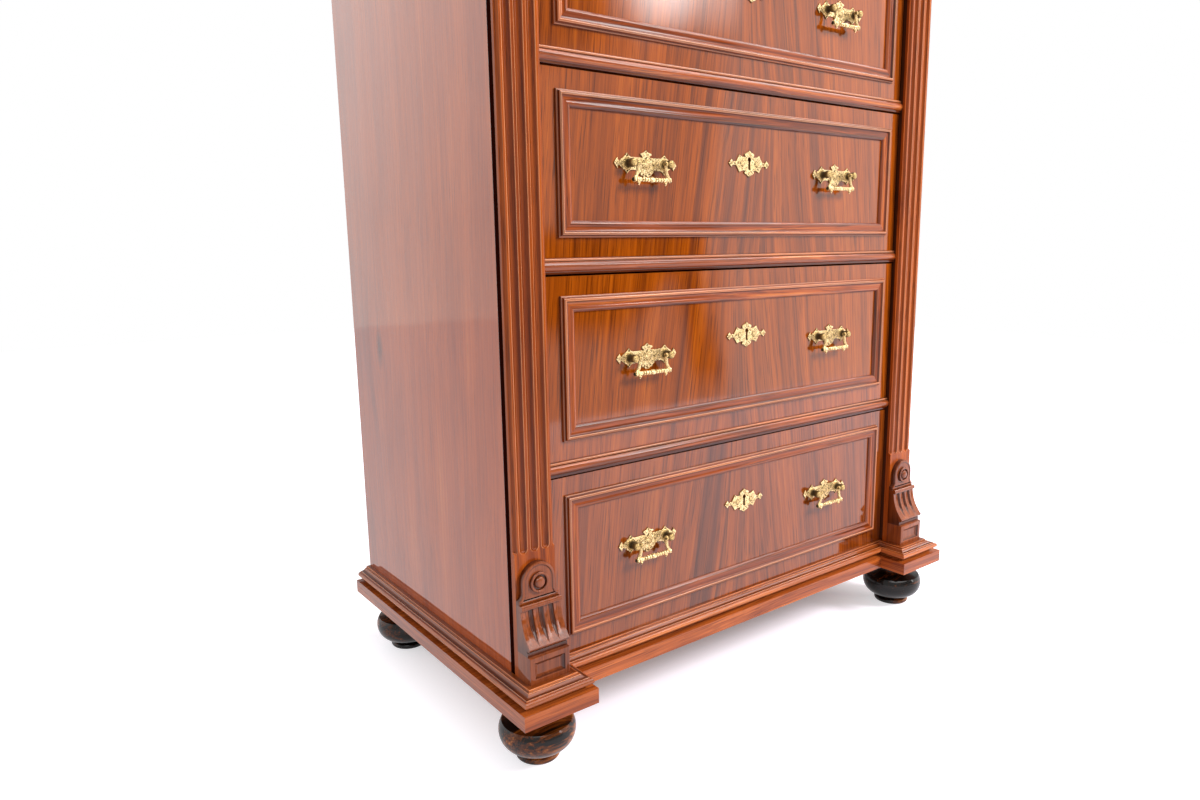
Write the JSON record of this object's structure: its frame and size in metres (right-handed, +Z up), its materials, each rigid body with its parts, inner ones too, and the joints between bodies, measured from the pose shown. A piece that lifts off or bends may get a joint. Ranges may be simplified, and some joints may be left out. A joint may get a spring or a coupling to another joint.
{
  "type": "chest of drawers",
  "caption": "Tall polished walnut chest with graduated framed drawers between fluted pilasters, brass bail pulls and turned bun feet, for storing clothes and linen.",
  "frame": {"origin": "on the floor under the middle of the whole chest", "axes": "+X to the right of someone facing the drawers, +Y towards the back, +Z up"},
  "size_m": [0.88, 0.538, 1.37],
  "materials": {
    "walnut_veneer": "high-gloss polished figured veneer",
    "walnut_solid": "high-gloss polished, stained",
    "walnut_dark": "polished, dark stained",
    "pine": "planed, aged, unfinished",
    "brass": "cast, chased and worn bright with dark recesses",
    "steel": "dull, aged"
  },
  "bodies": {
    "carcass": {"base_board": "walnut_solid", "plinth_moulding": "walnut_solid", "feet": "walnut_dark", "side_panels": "walnut_veneer", "back_boards": "pine", "front_posts": "walnut_solid", "pilasters": "walnut_solid", "corbels": "walnut_solid", "capitals": "walnut_solid", "cornice_moulding": "walnut_solid", "top_board": "walnut_veneer", "drawer_rails": "pine", "rail_mouldings": "walnut_solid", "runners": "pine", "drawer_stops": "pine"},
    "drawer_1": {"drawer_1_front": "walnut_veneer", "drawer_1_frame": "walnut_solid", "drawer_1_box": "pine", "drawer_1_bottom": "pine", "drawer_1_plates": "brass", "drawer_1_lock": "steel"},
    "drawer_1_bolt": {"drawer_1_bolt": "steel"},
    "drawer_1_bail_left": {"drawer_1_bail_left": "brass"},
    "drawer_1_bail_right": {"drawer_1_bail_right": "brass"},
    "drawer_2": {"drawer_2_front": "walnut_veneer", "drawer_2_frame": "walnut_solid", "drawer_2_box": "pine", "drawer_2_bottom": "pine", "drawer_2_plates": "brass", "drawer_2_lock": "steel"},
    "drawer_2_bolt": {"drawer_2_bolt": "steel"},
    "drawer_2_bail_left": {"drawer_2_bail_left": "brass"},
    "drawer_2_bail_right": {"drawer_2_bail_right": "brass"},
    "drawer_3": {"drawer_3_front": "walnut_veneer", "drawer_3_frame": "walnut_solid", "drawer_3_box": "pine", "drawer_3_bottom": "pine", "drawer_3_plates": "brass", "drawer_3_lock": "steel"},
    "drawer_3_bolt": {"drawer_3_bolt": "steel"},
    "drawer_3_bail_left": {"drawer_3_bail_left": "brass"},
    "drawer_3_bail_right": {"drawer_3_bail_right": "brass"},
    "drawer_4": {"drawer_4_front": "walnut_veneer", "drawer_4_frame": "walnut_solid", "drawer_4_box": "pine", "drawer_4_bottom": "pine", "drawer_4_plates": "brass", "drawer_4_lock": "steel"},
    "drawer_4_bolt": {"drawer_4_bolt": "steel"},
    "drawer_4_bail_left": {"drawer_4_bail_left": "brass"},
    "drawer_4_bail_right": {"drawer_4_bail_right": "brass"},
    "drawer_5": {"drawer_5_front": "walnut_veneer", "drawer_5_frame": "walnut_solid", "drawer_5_box": "pine", "drawer_5_bottom": "pine", "drawer_5_plates": "brass", "drawer_5_lock": "steel"},
    "drawer_5_bolt": {"drawer_5_bolt": "steel"},
    "drawer_5_bail_left": {"drawer_5_bail_left": "brass"},
    "drawer_5_bail_right": {"drawer_5_bail_right": "brass"}
  },
  "joints": [
    {"name": "drawer_1_slide", "type": "slide", "parent": "carcass", "child": "drawer_1", "axis": [0, -1, 0], "range_m": [0, 0.36]},
    {"name": "drawer_1_lock_bolt", "type": "slide", "parent": "drawer_1", "child": "drawer_1_bolt", "axis": [0, 0, 1], "range_m": [0, 0.009]},
    {"name": "drawer_1_bail_left_swing", "type": "hinge", "parent": "drawer_1", "child": "drawer_1_bail_left", "pos_m": [-0.191, -0.214, 0.2443], "axis": [-1, 0, 0], "range_deg": [0, 100]},
    {"name": "drawer_1_bail_right_swing", "type": "hinge", "parent": "drawer_1", "child": "drawer_1_bail_right", "pos_m": [0.191, -0.214, 0.2443], "axis": [-1, 0, 0], "range_deg": [0, 100]},
    {"name": "drawer_2_slide", "type": "slide", "parent": "carcass", "child": "drawer_2", "axis": [0, -1, 0], "range_m": [0, 0.36]},
    {"name": "drawer_2_lock_bolt", "type": "slide", "parent": "drawer_2", "child": "drawer_2_bolt", "axis": [0, 0, 1], "range_m": [0, 0.009]},
    {"name": "drawer_2_bail_left_swing", "type": "hinge", "parent": "drawer_2", "child": "drawer_2_bail_left", "pos_m": [-0.191, -0.214, 0.5015], "axis": [-1, 0, 0], "range_deg": [0, 100]},
    {"name": "drawer_2_bail_right_swing", "type": "hinge", "parent": "drawer_2", "child": "drawer_2_bail_right", "pos_m": [0.191, -0.214, 0.5015], "axis": [-1, 0, 0], "range_deg": [0, 100]},
    {"name": "drawer_3_slide", "type": "slide", "parent": "carcass", "child": "drawer_3", "axis": [0, -1, 0], "range_m": [0, 0.36]},
    {"name": "drawer_3_lock_bolt", "type": "slide", "parent": "drawer_3", "child": "drawer_3_bolt", "axis": [0, 0, 1], "range_m": [0, 0.009]},
    {"name": "drawer_3_bail_left_swing", "type": "hinge", "parent": "drawer_3", "child": "drawer_3_bail_left", "pos_m": [-0.191, -0.214, 0.7492], "axis": [-1, 0, 0], "range_deg": [0, 100]},
    {"name": "drawer_3_bail_right_swing", "type": "hinge", "parent": "drawer_3", "child": "drawer_3_bail_right", "pos_m": [0.191, -0.214, 0.7492], "axis": [-1, 0, 0], "range_deg": [0, 100]},
    {"name": "drawer_4_slide", "type": "slide", "parent": "carcass", "child": "drawer_4", "axis": [0, -1, 0], "range_m": [0, 0.36]},
    {"name": "drawer_4_lock_bolt", "type": "slide", "parent": "drawer_4", "child": "drawer_4_bolt", "axis": [0, 0, 1], "range_m": [0, 0.009]},
    {"name": "drawer_4_bail_left_swing", "type": "hinge", "parent": "drawer_4", "child": "drawer_4_bail_left", "pos_m": [-0.191, -0.214, 0.9864], "axis": [-1, 0, 0], "range_deg": [0, 100]},
    {"name": "drawer_4_bail_right_swing", "type": "hinge", "parent": "drawer_4", "child": "drawer_4_bail_right", "pos_m": [0.191, -0.214, 0.9864], "axis": [-1, 0, 0], "range_deg": [0, 100]},
    {"name": "drawer_5_slide", "type": "slide", "parent": "carcass", "child": "drawer_5", "axis": [0, -1, 0], "range_m": [0, 0.36]},
    {"name": "drawer_5_lock_bolt", "type": "slide", "parent": "drawer_5", "child": "drawer_5_bolt", "axis": [0, 0, 1], "range_m": [0, 0.009]},
    {"name": "drawer_5_bail_left_swing", "type": "hinge", "parent": "drawer_5", "child": "drawer_5_bail_left", "pos_m": [-0.191, -0.214, 1.2126], "axis": [-1, 0, 0], "range_deg": [0, 100]},
    {"name": "drawer_5_bail_right_swing", "type": "hinge", "parent": "drawer_5", "child": "drawer_5_bail_right", "pos_m": [0.191, -0.214, 1.2126], "axis": [-1, 0, 0], "range_deg": [0, 100]}
  ]
}
